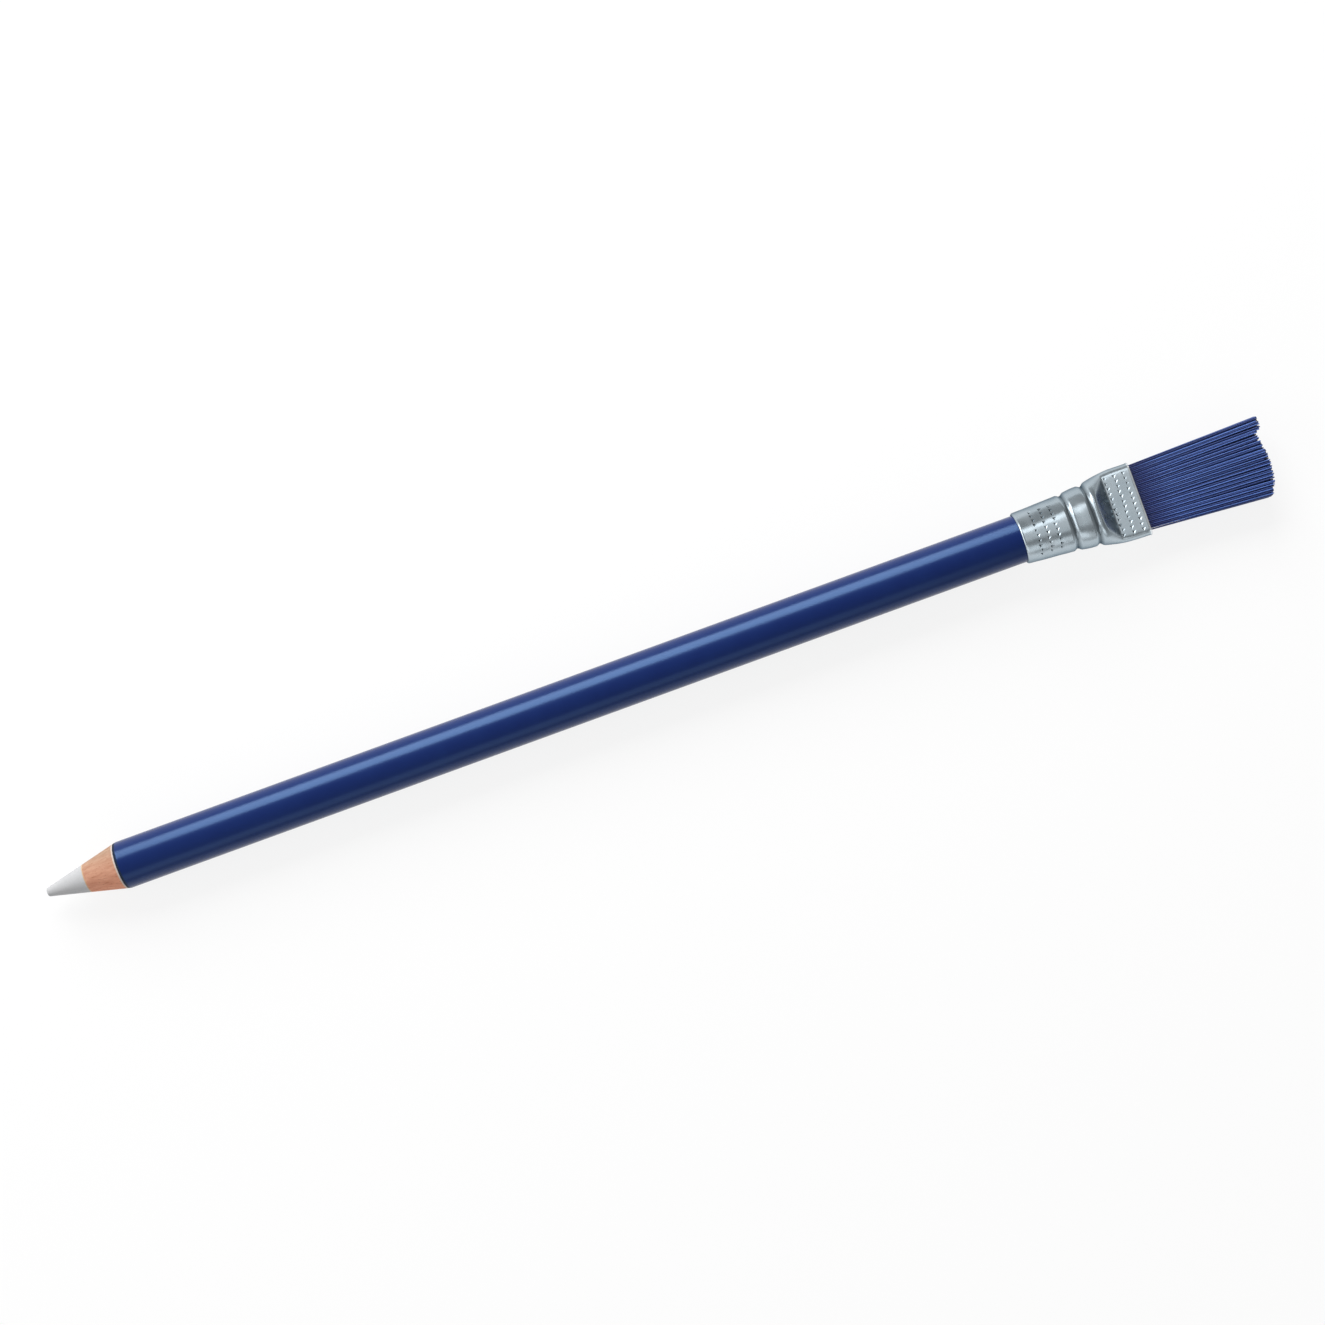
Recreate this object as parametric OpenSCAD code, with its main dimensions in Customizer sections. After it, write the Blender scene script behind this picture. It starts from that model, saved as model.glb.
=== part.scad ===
// Eraser pencil with a flat brush at its other end.
// The pencil lies along X with its point towards -X and its brush towards +X.
// X = 0 is the rim of the ferrule, and the X axis is the axis of the barrel. +Z is up.

/* [Barrel] */
// Diameter of the barrel over its lacquer
barrel_d = 7.5; // [6.5:0.1:9]
// Length of the lacquered barrel, from the paint edge to the ferrule
barrel_len = 146.9; // [60:0.1:170]
// Thickness of the lacquer
lacquer_t = 0.1; // [0.05:0.01:0.2]
// Thickness of the primer under the lacquer
primer_t = 0.06; // [0.03:0.01:0.1]
// Gap between the bare wooden end inside the ferrule and the first groove
tenon_gap = 0.2; // [0.1:0.1:3]
// How far the two coats run in under the rim of the ferrule
coat_tuck = 0.1; // [0.05:0.01:0.15]

/* [Core and glue] */
// Diameter of the eraser core
core_d = 4.5; // [2:0.1:5]
// Thickness of the glue between the slats and round the core
glue_t = 0.04; // [0.02:0.01:0.1]

/* [Point] */
// Angle between the sharpened cone and the axis
cone_angle = 14; // [10:0.25:25]
// Radius of the blunt end of the core
tip_r = 0.65; // [0.3:0.05:1]
// Radius of the worn edge round the blunt end
tip_round = 0.25; // [0.05:0.05:0.25]

/* [Ferrule] */
// Length of the ferrule
ferrule_len = 19.5; // [18.5:0.1:24]
// Thickness of the sheet metal
ferrule_wall = 0.3; // [0.2:0.05:0.4]
// Clearance between the rim of the ferrule and the lacquer
ferrule_fit = 0.04; // [0.02:0.01:0.1]
// Sideways lean of the ferrule and brush, in degrees
nose_lean = 1.5; // [0:0.1:2]
// Distance of the first groove from the rim
groove_1_at = 8; // [6:0.1:8.6]
// Distance of the second groove from the rim
groove_2_at = 11.5; // [10.6:0.1:12]
// Width of a groove along the ferrule
groove_w = 1.4; // [1:0.1:2]
// Depth of a groove
groove_depth = 0.3; // [0.1:0.02:0.4]
// How much wider the ferrule is at the first groove than at its rim
neck_flare = 1; // [0.6:0.1:1.6]
// How much wider the ferrule is at the second groove than at its rim
bead_flare = 1.7; // [1:0.1:2.2]
// How much higher the ferrule is at the second groove than at its rim
bead_rise = 0.2; // [0:0.1:0.8]
// How far the bead between the grooves swells
bead_crown = 0.08; // [0:0.01:0.2]
// Width across the flat mouth
mouth_w = 11.7; // [10.4:0.1:13]
// Height of the flat mouth
mouth_h = 2.8; // [2.6:0.1:4]
// Distance from the second groove to the slope down to the pressed flat
slope_gap = 0.2; // [0.1:0.1:0.6]
// Length of that slope along the ferrule
slope_run = 2.4; // [2:0.1:3.2]

/* [Brush] */
// Free length of the bristles, measured along the middle
bristle_len = 20.4; // [12:0.1:26]
// Number of bristles across the tuft
bristle_columns = 40; // [34:1:44]
// Number of bristles through the tuft's thickness
bristle_rows = 9; // [9:1:10]
// Thickness of a bristle at its root
bristle_t = 0.15; // [0.1:0.01:0.16]
// Thickness of a bristle at its tip
bristle_tip_t = 0.11; // [0.06:0.01:0.12]
// Most that the tip of a bristle strays from its place
bristle_stray = 0.05; // [0:0.01:0.05]
// Angle between the edges of the tuft and its middle, in degrees
fan_angle = 2.9; // [1:0.1:5]
// Thickness of the brush at its tips
tip_thickness = 2.2; // [2.1:0.1:3]
// Difference in length between the tuft's long and short edges
tip_slant = 1.3; // [0:0.1:2]
// Most that a single bristle is shorter than the rest
tip_rag = 0.7; // [0.1:0.1:1]
// Clearance above and below the bent tuft inside the mouth
tuft_fit = 0.05; // [0.03:0.01:0.2]
// Clearance between the tuft's upper edge and the side of the mouth
tuft_side_fit = 0.1; // [0.1:0.05:0.5]
// How far the tuft sits off the middle of the mouth
tuft_shift = 0.15; // [0:0.05:0.3]
// Thickness of the slice of backing that holds the bristles together
slice_t = 0.3; // [0.2:0.05:0.4]
// Clearance between that slice and the resin plug when the brush is bent
swing_fit = 0.1; // [0.05:0.05:0.5]
// Largest bend of the brush to either side, in degrees
swing_angle = 20; // [5:1:20]

/* [Root resin] */
// Length of the resin plug along the ferrule
resin_len = 4.5; // [2:0.1:5]
// Clearance between the plug and the metal
resin_fit = 0.06; // [0.05:0.01:0.1]

/* [Hidden] */

$fn = 96;

barrel_r = barrel_d / 2;
primer_r = barrel_r - lacquer_t;
wood_r = primer_r - primer_t;
core_r = core_d / 2;
bore_r = core_r + glue_t;

// Radius over which the crease between the tube and the pressed flat is rounded
crease = 0.4;
// How much higher than the press leaves it the rounded sides of a pressed section would reach
shoulder = 0.15;
// Points round the ferrule, and steps along each of its stretches
ring_points = 40;
steps = [3, 8, 3, 8, 1, 12, 6];
// How strongly the points crowd from the flats of a section into its round sides
crowding = 3;
// Steps in the rounded edge of the tip, and along the resin plug
tip_steps = 6;
plug_steps = 16;

rim_r = barrel_r + ferrule_fit + ferrule_wall;
// Half the ferrule's width and height at the grooves, without the grooves themselves
neck_half_w = rim_r + neck_flare / 2;
bead_half_w = rim_r + bead_flare / 2;
bead_half_h = rim_r + bead_rise / 2;
tenon_len = groove_1_at - groove_w / 2 - tenon_gap;
slope_start = groove_2_at + groove_w / 2 + slope_gap;
slope_end = slope_start + slope_run;
// The sides of the tube go on closing for a while past the slope
side_end = slope_start + 2 * slope_run;
// Room behind the bristles' slice of backing for its corner when the brush bends
swing_gap = root_h(0) * sin(swing_angle) + swing_fit;

// Sharpened barrel

// Place along X where the sharpened cone has radius r
function cone_x(r) = -barrel_len - (barrel_r - r) / tan(cone_angle);

// Turns an outline of [radius, place along X] round the axis of the barrel, from its side and not from below
module turned(outline) rotate([0, 90, 0]) rotate([0, 0, 90]) rotate_extrude() polygon(outline);

// A sleeve from the cone to the place x_end, between two radii
module sleeve(r_in, r_out, x_end)
    turned([[r_in, cone_x(r_in)], [r_out, cone_x(r_out)], [r_out, x_end], [r_in, x_end]]);

// The worn edge of the tip, from its flat end to where it meets the cone
function tip_edge() =
    let (
        slide = tip_round * (1 - sin(cone_angle)) / cos(cone_angle),
        centre_r = tip_r + slide * sin(cone_angle) - tip_round * cos(cone_angle),
        centre_x = cone_x(tip_r) + tip_round
    )
    [for (k = [0:tip_steps]) let (a = (90 - cone_angle) * k / tip_steps)
        [centre_r + tip_round * sin(a), centre_x - tip_round * cos(a)]];

module eraser_core() color("gainsboro")
    turned(concat([[0, cone_x(tip_r)]], tip_edge(),
        [[core_r, cone_x(core_r)], [core_r, tenon_len], [0, tenon_len]]));

// A block as wide and as long as the barrel, between two heights
module barrel_layer(z_low, z_high)
    translate([cone_x(0), -barrel_d, z_low])
        cube([tenon_len - cone_x(0) + 1, 2 * barrel_d, z_high - z_low]);

module upper_slat() color("burlywood") intersection() {
    sleeve(bore_r, wood_r, tenon_len);
    barrel_layer(glue_t / 2, barrel_d);
}

module lower_slat() color("burlywood") intersection() {
    sleeve(bore_r, wood_r, tenon_len);
    barrel_layer(-barrel_d, -glue_t / 2);
}

module glue_film() color("khaki") {
    sleeve(core_r, bore_r, tenon_len);
    intersection() {
        sleeve(core_r, wood_r, tenon_len);
        barrel_layer(-glue_t / 2, glue_t / 2);
    }
}

module primer_coat() color("whitesmoke") sleeve(wood_r, primer_r, coat_tuck);

module lacquer_coat() color("midnightblue") sleeve(primer_r, barrel_r, coat_tuck);

// Ferrule

// Share of the way from a to b at x, kept between 0 and 1
function share(x, a, b) = min(1, max(0, (x - a) / (b - a)));
function mix(a, b, t) = a + (b - a) * t;
// The smaller and the larger of two sizes, with the crease between them rounded
function rounding(a, b) = pow(max(crease - abs(a - b), 0), 2) / (4 * crease);
function soft_min(a, b) = min(a, b) - rounding(a, b);
function soft_max(a, b) = max(a, b) + rounding(a, b);

// Depth of a groove at distance d from its middle
function groove(d) = abs(d) < groove_w / 2 ? groove_depth * pow(cos(180 * d / groove_w), 2) : 0;
// What the grooves and the bead between them add to the radius at x
function relief(x) =
    bead_crown * pow(sin(180 * share(x, groove_1_at, groove_2_at)), 2)
    - groove(x - groove_1_at) - groove(x - groove_2_at);

// Half the width of the tube at x
function half_w(x) = relief(x) + (
    x < groove_1_at ? mix(rim_r, neck_half_w, share(x, 0, groove_1_at)) :
    x < groove_2_at ? mix(neck_half_w, bead_half_w, share(x, groove_1_at, groove_2_at)) :
    mix(mouth_w / 2, bead_half_w, pow(1 - share(x, groove_2_at, side_end), 2)));

// Half the height that the press leaves at x
function press_h(x) =
    let (slope = bead_half_h - (bead_half_h - mouth_h / 2) * (x - slope_start) / slope_run)
    soft_max(slope, mouth_h / 2);

// Half the height that the rounded sides of the tube would reach at x
function half_h(x) = relief(x) + (
    x < groove_2_at ? mix(rim_r, bead_half_h, share(x, 0, groove_2_at)) :
    soft_min(bead_half_h, press_h(x) + shoulder));

// Middle of the leaning ferrule and brush at x
function lean_y(x) = -tan(nose_lean) * x;

// Half the height of the section at x and sideways place y, a distance inside the outer surface
function height_at(x, y, inside) =
    let (
        b = half_h(x) - inside,
        past = max(0, abs(y) - (half_w(x) - inside - b)) / b
    )
    soft_min(b * sqrt(max(0, 1 - past * past)), press_h(x) - inside);

// One point of the section at x, at angle a, a distance inside the outer surface
function section_point(x, a, inside) =
    let (
        b = half_h(x) - inside,
        flat = half_w(x) - inside - b,
        z = soft_min(b * abs(sin(a)), press_h(x) - inside)
    )
    [x, lean_y(x) + b * cos(a) + flat * max(-1, min(1, crowding * cos(a))), sign(sin(a)) * z];

// The section at x, with one of its sides flat underneath, so that the pencil lies still on its bead
function ring(x, inside) =
    [for (k = [0:ring_points - 1]) section_point(x, 360 * (k + 0.5) / ring_points, inside)];

// Places of the rings along the ferrule, closer together where it curves
stretches = [0, groove_1_at - groove_w / 2, groove_1_at + groove_w / 2, groove_2_at - groove_w / 2,
    groove_2_at + groove_w / 2, slope_start, slope_end, ferrule_len];
ferrule_places = concat([0], [for (s = [0:len(steps) - 1]) for (k = [1:steps[s]])
    mix(stretches[s], stretches[s + 1], k / steps[s])]);

// Two triangles for each side between ring number a and ring number b
function band(a, b) = [for (k = [0:ring_points - 1])
    let (n = (k + 1) % ring_points, p = a * ring_points, q = b * ring_points)
    each [[p + k, q + n, p + n], [p + k, q + k, q + n]]];

// Outer rings from the rim to the mouth, then inner rings back
ferrule_rings = concat(
    [for (x = ferrule_places) ring(x, 0)],
    [for (k = [len(ferrule_places) - 1:-1:0]) ring(ferrule_places[k], ferrule_wall)]);

module ferrule() color("silver")
    polyhedron(
        points = [for (r = ferrule_rings) each r],
        faces = [for (k = [0:len(ferrule_rings) - 1]) each band(k, (k + 1) % len(ferrule_rings))]);

// The resin plug lies behind the bristles
plug_end = ferrule_len - slice_t - swing_gap;
plug_rings = [for (k = [0:plug_steps])
    ring(plug_end - resin_len * (1 - k / plug_steps), ferrule_wall + resin_fit)];
// Triangles from the middle point of each end to its ring
plug_middle = (plug_steps + 1) * ring_points;
plug_caps = [for (k = [0:ring_points - 1])
    let (n = (k + 1) % ring_points, last = plug_steps * ring_points)
    each [[plug_middle, k, n], [plug_middle + 1, last + n, last + k]]];

module root_resin() color("darkgoldenrod")
    polyhedron(
        points = concat(
            [for (r = plug_rings) each r],
            [for (x = [plug_end - resin_len, plug_end]) [x, lean_y(x), 0]]),
        faces = concat([for (k = [0:plug_steps - 1]) each band(k, k + 1)], plug_caps));

// Brush

tuft_half_w = mouth_w / 2 - ferrule_wall - tuft_side_fit - tuft_shift;
// Grid lines across and through the tuft: two for each bristle, and one at each edge
y_lines = 2 * bristle_columns + 2;
z_lines = 2 * bristle_rows + 2;

// Place of grid line k, from -half to half, where n bristles and the gaps between them lie side by side
function line_at(k, n, half) =
    let (gap = (2 * half - n * bristle_t) / (n + 1))
    -half + ceil(k / 2) * gap + floor(k / 2) * bristle_t;
function y_line(i) = line_at(i, bristle_columns, tuft_half_w);
function z_line(j) = line_at(j, bristle_rows, root_h(0));

// Half the thickness of the tuft's root at a distance y from its middle, with room for it to bend
function root_h(y) =
    let (room = height_at(ferrule_len, tuft_shift + y, ferrule_wall))
    (room - slice_t / 2 * tan(swing_angle)) * cos(swing_angle) - tuft_fit;

// How much the tuft is thinner at a distance y from its middle, where the mouth is rounded
function squeeze(y) = root_h(y) / root_h(0);

// Point of the tuft's root slice where two grid lines meet
function root_point(i, j, x) =
    [x, lean_y(x) + tuft_shift + y_line(i), squeeze(y_line(i)) * z_line(j)];

// Random numbers from -1 to 1 for each bristle: sideways, up and in length
side_luck = rands(-1, 1, bristle_columns * bristle_rows, 11);
up_luck = rands(-1, 1, bristle_columns * bristle_rows, 23);
length_luck = rands(0, 1, bristle_columns * bristle_rows, 37);

// Corner of the tip of bristle c across and r up, on the side and the upper or lower face given by -1 or 1
function tip_point(c, r, side, up) =
    let (
        n = c * bristle_rows + r,
        y_mid = (y_line(2 * c + 1) + y_line(2 * c + 2)) / 2,
        z_mid = (z_line(2 * r + 1) + z_line(2 * r + 2)) / 2,
        length = bristle_len + tip_slant / 2 * y_mid / tuft_half_w - tip_rag * pow(length_luck[n], 2),
        x = ferrule_len + length,
        fan = 1 + tan(fan_angle) * length / tuft_half_w,
        fan_up = mix(1, tip_thickness / (2 * root_h(0)), length / bristle_len)
    )
    [
        x,
        lean_y(x) + tuft_shift + y_mid * fan + bristle_stray * side_luck[n] + side * bristle_tip_t / 2,
        squeeze(y_mid) * (z_mid * fan_up + bristle_stray * up_luck[n] + up * bristle_tip_t / 2)
    ];

// Two triangles for a four-sided face, given its corners in order
function two(a, b, c, d) = [[a, b, c], [a, c, d]];

// Numbers of the tuft's points: the grid on the front of the slice, then the lower and the upper
// edge of its back, then four corners for each tip
last_y = y_lines - 1;
last_z = z_lines - 1;
function front_at(i, j) = i * z_lines + j;
function back_at(i, upper) = y_lines * z_lines + 2 * i + upper;
function tip_at(c, r, corner) = y_lines * (z_lines + 2) + 4 * (c * bristle_rows + r) + corner;

tuft_points = concat(
    [for (i = [0:last_y]) for (j = [0:last_z]) root_point(i, j, ferrule_len)],
    [for (i = [0:last_y]) for (j = [0, last_z]) root_point(i, j, ferrule_len - slice_t)],
    [for (c = [0:bristle_columns - 1]) for (r = [0:bristle_rows - 1]) for (corner = [0:3])
        tip_point(c, r, corner == 0 || corner == 3 ? -1 : 1, corner < 2 ? -1 : 1)]);

// The cells of the front that stay flat, between the bristles
gap_faces = [for (i = [0:last_y - 1]) for (j = [0:last_z - 1]) if (i % 2 == 0 || j % 2 == 0)
    each two(front_at(i, j), front_at(i, j + 1), front_at(i + 1, j + 1), front_at(i + 1, j))];

// The four sides and the tip of each bristle
bristle_faces = [for (c = [0:bristle_columns - 1]) for (r = [0:bristle_rows - 1])
    let (
        i = 2 * c + 1,
        j = 2 * r + 1,
        root = [front_at(i, j), front_at(i + 1, j), front_at(i + 1, j + 1), front_at(i, j + 1)],
        tip = [for (corner = [0:3]) tip_at(c, r, corner)]
    )
    each concat(
        [for (k = [0:3]) let (n = (k + 1) % 4) each two(root[k], tip[k], tip[n], root[n])],
        two(tip[0], tip[3], tip[2], tip[1]))];

// The back of the slice, and its long lower and upper sides
slice_faces = [for (i = [0:last_y - 1]) each concat(
    two(back_at(i, 0), back_at(i + 1, 0), back_at(i + 1, 1), back_at(i, 1)),
    two(front_at(i, 0), front_at(i + 1, 0), back_at(i + 1, 0), back_at(i, 0)),
    two(front_at(i + 1, last_z), front_at(i, last_z), back_at(i, 1), back_at(i + 1, 1)))];

// The two short sides of the slice
end_faces = concat(
    [[front_at(0, 0), back_at(0, 0), back_at(0, 1)],
        [back_at(last_y, 0), front_at(last_y, 0), back_at(last_y, 1)]],
    [for (j = [0:last_z - 1]) each [
        [front_at(0, j + 1), front_at(0, j), back_at(0, 1)],
        [front_at(last_y, j), front_at(last_y, j + 1), back_at(last_y, 1)]]]);

// One closed surface: the front of the slice is a grid, and every second cell in both directions
// is drawn out into a bristle
module bristle_tuft() color("darkslateblue")
    polyhedron(points = tuft_points, faces = concat(gap_faces, bristle_faces, slice_faces, end_faces));

eraser_core();
upper_slat();
lower_slat();
glue_film();
primer_coat();
lacquer_coat();
ferrule();
root_resin();
bristle_tuft();
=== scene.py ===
# %% [markdown]
# # An eraser pencil with a brush end
#
# The real object is a round wooden pencil whose core is a hard grey eraser, with a flat brush in a
# pressed metal ferrule at the other end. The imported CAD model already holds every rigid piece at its
# true size, so this lesson dresses it: the barrel's pieces keep their CAD meshes and get finishes, and
# the ferrule and the brush are made again in full detail and stand for their plain CAD nodes.
#
# x runs along the pencil towards the brush, and x = 0 is the rear rim of the ferrule. z is up.

import math
from functools import partial

import bpy
from mathutils import Matrix, Vector, noise


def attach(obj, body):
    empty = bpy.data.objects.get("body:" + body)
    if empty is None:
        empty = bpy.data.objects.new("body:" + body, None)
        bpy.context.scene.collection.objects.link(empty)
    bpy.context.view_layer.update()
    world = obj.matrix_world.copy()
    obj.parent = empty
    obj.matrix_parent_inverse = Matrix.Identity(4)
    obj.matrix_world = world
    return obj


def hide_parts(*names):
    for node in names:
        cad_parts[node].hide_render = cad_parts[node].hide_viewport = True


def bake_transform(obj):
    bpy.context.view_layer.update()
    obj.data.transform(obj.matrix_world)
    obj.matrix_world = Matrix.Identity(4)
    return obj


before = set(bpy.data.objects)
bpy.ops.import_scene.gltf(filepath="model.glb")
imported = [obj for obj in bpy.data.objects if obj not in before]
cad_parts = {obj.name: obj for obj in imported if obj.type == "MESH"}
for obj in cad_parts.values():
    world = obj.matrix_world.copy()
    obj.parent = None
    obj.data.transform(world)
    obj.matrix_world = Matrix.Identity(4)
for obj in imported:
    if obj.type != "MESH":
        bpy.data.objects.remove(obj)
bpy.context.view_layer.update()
mm = 0.001
paint_edge = -146.9 * mm
bead_bottom = Vector((9.75, 0, -4.25)) * mm
paint_edge_bottom = Vector((-146.9, 0, -3.75)) * mm

# %% [markdown]
# ## Small helpers
#
# Every finish and every growing rule below is a graph of nodes. One helper adds a node, applies its
# settings and fills its inputs, either with a value or with a link from another node. A few more are
# short names for the nodes that come back most. Colours are written as the hex values that a screen
# shows, and one function turns them to linear light.

# %% Helpers for nodes and colours
def add_node(tree, kind, inputs=None, **settings):
    """Adds a node and fills its inputs with values, sockets, or the first output of other nodes."""
    node = tree.nodes.new(kind)
    for name, value in settings.items():
        setattr(node, name, value)
    for key, value in (inputs or {}).items():
        if isinstance(value, bpy.types.Node):
            value = value.outputs[0]
        if isinstance(value, bpy.types.NodeSocket):
            tree.links.new(value, node.inputs[key])
        else:
            node.inputs[key].default_value = value
    return node


def colour(code):
    """Linear RGBA of an sRGB hex value such as #1F3768."""
    shares = [int(code[i:i + 2], 16) / 255 for i in (1, 3, 5)]
    linear = [s / 12.92 if s <= 0.04045 else ((s + 0.055) / 1.055) ** 2.4 for s in shares]
    return (*linear, 1)


# The Mix node keeps two inputs and one output for each kind of value
MIX_SOCKETS = {"FLOAT": (2, 3, 0), "VECTOR": (4, 5, 1), "RGBA": (6, 7, 2)}


def blend(tree, factor, a, b, kind="RGBA", **settings):
    """Value between a and b. A text among them is read as a hex colour."""
    first, second, result = MIX_SOCKETS[kind]
    a, b = (colour(end) if isinstance(end, str) else end for end in (a, b))
    node = add_node(tree, "ShaderNodeMix", {0: factor, first: a, second: b}, data_type=kind, **settings)
    return node.outputs[result]


def number(tree, operation, a, b=0.0):
    """Result of a calculation on one or two numbers."""
    return add_node(tree, "ShaderNodeMath", {0: a, 1: b}, operation=operation).outputs[0]


def vector(tree, operation, a, b):
    """Result of a calculation on two vectors, or on a vector and its scale."""
    other = "Scale" if operation == "SCALE" else 1
    return add_node(tree, "ShaderNodeVectorMath", {0: a, other: b}, operation=operation).outputs[0]


def remap(tree, value, start, end, low=0.0, high=1.0):
    """Value carried from the range start to end over to low to high, and held at both ends."""
    return add_node(tree, "ShaderNodeMapRange", {"Value": value, "From Min": start, "From Max": end,
                                                 "To Min": low, "To Max": high}).outputs[0]


def split(tree, source):
    """The X, Y and Z of a vector."""
    return add_node(tree, "ShaderNodeSeparateXYZ", {0: source}).outputs


def join(tree, **axes):
    """Vector of the given X, Y and Z. One that isn't given is 0."""
    return add_node(tree, "ShaderNodeCombineXYZ", axes).outputs[0]


print("helpers ready")

# %% [markdown]
# ## The camera
#
# The photograph is taken from straight above, with the pencil lying diagonally across the frame. A
# distance of 0.4 m gives the ferrule the slight perspective of a small object shot close. The field of
# view follows from the width that the frame covers on the table.

# %% Camera above the pencil
camera_height = 0.4
frame_width = 204.27 * mm
frame_middle = (-58.17 * mm, 0.9 * mm)
frame_turn = math.radians(-20.01)

camera_data = bpy.data.cameras.new("Camera")
camera_data.angle = 2 * math.atan(frame_width / 2 / camera_height)
camera_data.clip_start = 0.01
camera = bpy.data.objects.new("Camera", camera_data)
camera.location = (*frame_middle, camera_height)
camera.rotation_euler = (0, 0, frame_turn)
bpy.context.scene.collection.objects.link(camera)
bpy.context.scene.camera = camera

print("field of view:", round(math.degrees(camera_data.angle), 2), "degrees")

# %% [markdown]
# ## The table and the light
#
# The pencil lies on a white sheet and touches it in two places, under the ferrule's bead and under
# the paint edge, so the sheet is a plane through those two points, tilted by a fifth of a degree. Part
# of the sheet's white is light of its own for the rays that see it directly or in a reflection. That
# gives the pale background of a product photograph and still keeps a soft shadow.

# %% White sheet under the pencil
def make_sheet(reach=12, clearance=0.005 * mm):
    """Large plane, a few thousandths of a millimetre under the bead and the paint edge."""
    slope = (paint_edge_bottom.z - bead_bottom.z) / (paint_edge_bottom.x - bead_bottom.x)
    corners = [
        (x, y, bead_bottom.z + slope * (x - bead_bottom.x) - clearance)
        for x, y in ((-reach, -reach), (reach, -reach), (reach, reach), (-reach, reach))
    ]
    mesh = bpy.data.meshes.new("white_sheet")
    mesh.from_pydata(corners, [], [(0, 1, 2, 3)])
    sheet = bpy.data.objects.new("white_sheet", mesh)
    bpy.context.scene.collection.objects.link(sheet)
    return sheet


def matt_paper(own_light=0.84):
    """Matt white card: diffuse, with part of its white given to direct and mirrored sight."""
    material = bpy.data.materials.new("matt white card")
    material.use_nodes = True
    tree = material.node_tree
    tree.nodes.clear()
    path = add_node(tree, "ShaderNodeLightPath").outputs
    seen = number(tree, "MAXIMUM", path["Is Camera Ray"], path["Is Glossy Ray"])
    seen = number(tree, "MAXIMUM", seen, path["Is Transmission Ray"])
    card = add_node(tree, "ShaderNodeBsdfDiffuse", {"Color": colour("#EDEDED")})
    white = add_node(tree, "ShaderNodeEmission", {"Strength": 1.0})
    both = add_node(tree, "ShaderNodeMixShader", {
        0: number(tree, "MULTIPLY", seen, own_light), 1: card, 2: white})
    add_node(tree, "ShaderNodeOutputMaterial", {"Surface": both})
    return material


sheet = make_sheet()
sheet.data.materials.append(matt_paper())

print("sheet size in m:", [round(v, 2) for v in sheet.dimensions])

# %% [markdown]
# One large softbox stands low on the far side, and paints the long pale band on the upper flank of
# the barrel. A weak, wide one on the near side gives the faint second band, and one beyond the eraser's
# end draws the thin bright lines round the grooves. Metal shows little but what it mirrors, so three
# lights will be linked to the ferrule alone: two overhead for its soft lengthwise bands, and one from a
# corner for the prick marks. The key softbox will leave it out. The sky is a pale grey, darker
# overhead, where the camera stands.

# %% Softboxes and sky
def add_softbox(name, size, azimuth, elevation, target_x, distance, radiance):
    """Area light turned towards a point of the pencil. Its power follows from how bright its face is."""
    lamp = bpy.data.lights.new(name, "AREA")
    lamp.shape = "RECTANGLE"
    lamp.size, lamp.size_y = size
    lamp.energy = radiance * math.pi * size[0] * size[1]
    light = bpy.data.objects.new(name, lamp)
    bpy.context.scene.collection.objects.link(light)
    turn, rise = math.radians(azimuth), math.radians(elevation)
    across = Vector((-math.sin(turn), math.cos(turn), 0))
    back = Vector((math.cos(rise) * math.cos(turn), math.cos(rise) * math.sin(turn), math.sin(rise)))
    place = Matrix.Translation(Vector((target_x, 0, 0)) + distance * back)
    light.matrix_world = place @ Matrix((across, back.cross(across), back)).transposed().to_4x4()
    light.visible_camera = False
    return light


softboxes = [
    add_softbox("key softbox", (0.46, 0.4), 90, 32, -0.09, 0.6, 9.4),
    add_softbox("fill softbox", (0.7, 0.3), -90, 31, -0.28, 0.6, 0.9),
    add_softbox("overhead softbox", (0.26, 0.6), 90, 84, 0.11, 0.6, 0.62),
    add_softbox("overhead strip", (0.24, 0.16), 90, 65, 0.09, 0.5, 1.35),
    add_softbox("corner softbox", (0.42, 0.32), 138, 30, 0.015, 0.6, 3.6),
    add_softbox("end softbox", (0.5, 0.4), 180, 20, 0.0, 0.7, 1.8),
]


def link_light(light, piece, state):
    """Lets a light reach only this piece, with INCLUDE, or everything but this piece, with EXCLUDE."""
    reached = bpy.data.collections.new("reached by the " + light.name)
    reached.objects.link(piece)
    reached.collection_objects[0].light_linking.link_state = state
    light.light_linking.receiver_collection = reached


def grey_sky(level_light=0.54, overhead_light=0.27, along_light=-0.18):
    """World light: grey, darker overhead, a little brighter beyond the eraser's end."""
    world = bpy.data.worlds.new("grey sky")
    bpy.context.scene.world = world
    world.use_nodes = True
    tree = world.node_tree
    tree.nodes.clear()
    direction = split(tree, add_node(tree, "ShaderNodeTexCoord").outputs["Generated"])
    height = remap(tree, direction["Z"], 0.0, 1.0, level_light, overhead_light)
    along = number(tree, "MULTIPLY", direction["X"], along_light)
    strength = number(tree, "ADD", height, along)
    sky = add_node(tree, "ShaderNodeBackground", {"Color": colour("#FFFFFF"), "Strength": strength})
    add_node(tree, "ShaderNodeOutputWorld", {"Surface": sky})


grey_sky()
bpy.context.scene.view_settings.view_transform = "Standard"

print("softboxes:", [(light.name, round(light.data.energy, 2)) for light in softboxes])

# %% [markdown]
# ## Finishes of the barrel
#
# Each finish starts from what the material is. A Principled shader stands for the surface, and its
# colour, roughness and bump come from noise that is stretched and scaled by real sizes. All patterns
# read Object coordinates, which are metres in the object's own frame, so nothing slides or stretches.

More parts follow.
